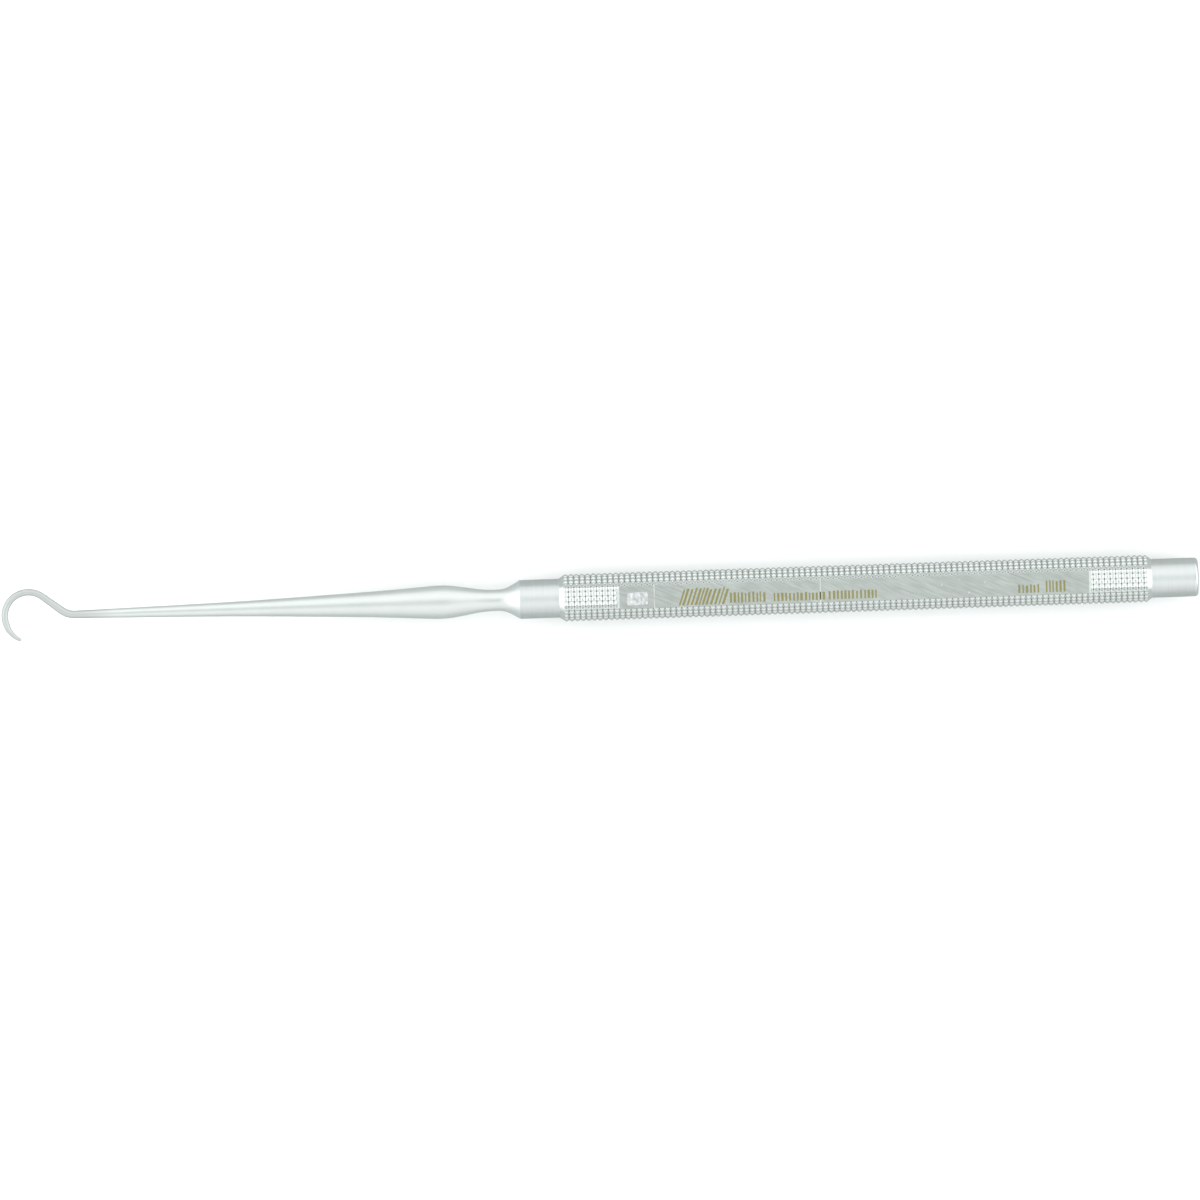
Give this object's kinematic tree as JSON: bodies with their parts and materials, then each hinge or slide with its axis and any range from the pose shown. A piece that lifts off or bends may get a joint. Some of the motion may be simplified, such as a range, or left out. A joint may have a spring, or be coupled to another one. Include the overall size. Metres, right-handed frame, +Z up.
{
  "type": "hand scaler",
  "caption": "Slim steel hand instrument with a round pointed hook on a long tapered shank, a finger swell and a knurled hollow handle with a marking flat.",
  "frame": {"origin": "centre of the whole instrument's footprint, on the plane that the knurled handle rests on", "axes": "+X along the instrument from the hook to the rear end; +Y across it, on the side that the hook bulges to; +Z up, out of the marking flat"},
  "size_m": [0.17, 0.0074, 0.0067],
  "materials": {
    "shank_steel": "satin",
    "handle_steel": "satin",
    "plug_steel": "satin",
    "silver_braze": "as flowed"
  },
  "bodies": {
    "root": {"hook_shank": "shank_steel", "front_braze_ring": "silver_braze", "handle_tube": "handle_steel", "rear_braze_ring": "silver_braze", "end_plug": "plug_steel"}
  },
  "joints": []
}
